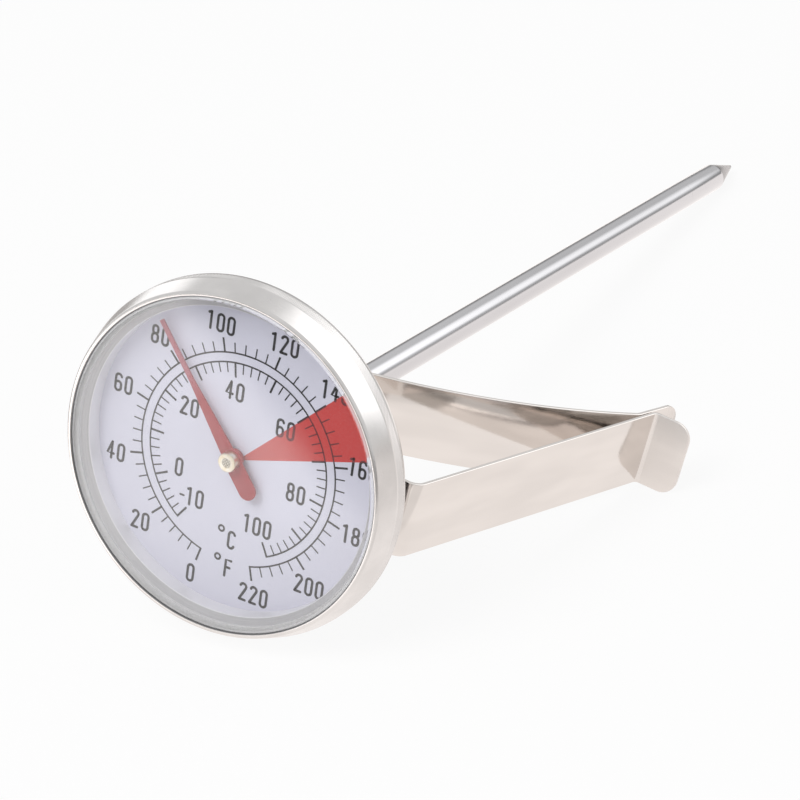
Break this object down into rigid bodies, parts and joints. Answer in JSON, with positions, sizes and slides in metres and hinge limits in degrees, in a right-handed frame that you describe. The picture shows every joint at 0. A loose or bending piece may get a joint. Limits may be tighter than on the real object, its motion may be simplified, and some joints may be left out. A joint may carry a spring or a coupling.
{
  "type": "dial thermometer",
  "caption": "Round dial thermometer with a pointer on a two-scale dial, a straight pointed probe and a sliding spring clip for the rim of a jug.",
  "frame": {"origin": "centre of the lens's front face, on the probe's axis", "axes": "the probe runs along +Y, the dial faces -Y, 12 o'clock on the dial is +Z and 3 o'clock is +X"},
  "size_m": [0.0595, 0.14, 0.045],
  "materials": {
    "pan_steel": "satin",
    "bezel_steel": "polished",
    "lens_glass": "clear gloss",
    "gasket_rubber": "matte",
    "spacer_aluminium": "bright turned",
    "dial_white": "satin print",
    "probe_steel": "polished lengthwise",
    "turned_brass": "turned",
    "cap_brass": "bright turned",
    "bimetal_strip": "rolled",
    "spindle_steel": "ground",
    "pointer_red": "satin paint",
    "spring_steel": "bright rolled"
  },
  "bodies": {
    "case": {"case_pan": "pan_steel", "bezel_ring": "bezel_steel", "lens": "lens_glass", "lens_gasket": "gasket_rubber", "spacer_ring": "spacer_aluminium", "dial_plate": "dial_white", "stem_collar": "pan_steel", "stem_tube": "probe_steel", "tip_plug": "probe_steel", "coil_anchor": "turned_brass", "bimetal_coil": "bimetal_strip", "lower_guide_bush": "turned_brass", "upper_guide_bush": "turned_brass"},
    "needle": {"spindle": "spindle_steel", "coil_hub": "turned_brass", "thrust_collar": "turned_brass", "pointer_hub": "pointer_red", "pointer": "pointer_red", "hub_cap": "cap_brass"},
    "clip": {"clip_frame": "spring_steel"},
    "jaw": {"clip_jaw": "spring_steel"}
  },
  "joints": [
    {"name": "pointer_turn", "type": "hinge", "parent": "case", "child": "needle", "pos_m": [0, 0, 0], "axis": [0, 1, 0], "range_deg": [-126, 204], "stiffness_Nm_per_rad": 0.0001},
    {"name": "clip_slide", "type": "slide", "parent": "case", "child": "clip", "axis": [0, 1, 0], "range_m": [0, 0.08]},
    {"name": "jaw_open", "type": "hinge", "parent": "clip", "child": "jaw", "pos_m": [0.01938, 0.0086, -0.00255], "axis": [-0.1305, 0, -0.9914], "range_deg": [0, 6], "stiffness_Nm_per_rad": 0.3, "springref_deg": -2.86}
  ]
}
